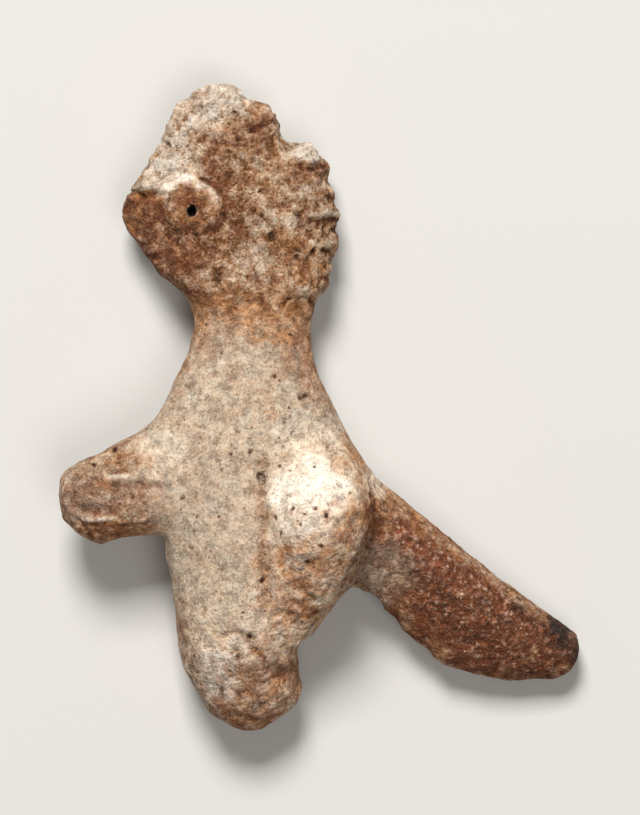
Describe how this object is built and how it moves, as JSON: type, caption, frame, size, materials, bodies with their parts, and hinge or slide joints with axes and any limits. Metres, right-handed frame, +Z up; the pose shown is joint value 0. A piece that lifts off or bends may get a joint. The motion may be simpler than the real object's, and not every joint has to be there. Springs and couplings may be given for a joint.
{
  "type": "idol figurine",
  "caption": "Hand-modelled terracotta idol with a flat notched head, a disc eye, a swelling bosom, a stump, a long flat arm and a tapering broken base.",
  "frame": {"origin": "centre of the bounding box, on the surface that the figurine lies on", "axes": "+Y from the broken base towards the crest, +Z up out of the surface, +X to the right of someone looking down on it, towards the long arm"},
  "size_m": [0.0964, 0.12, 0.0285],
  "materials": {
    "fired_clay": "matte"
  },
  "bodies": {
    "root": {"figurine": "fired_clay"}
  },
  "joints": []
}
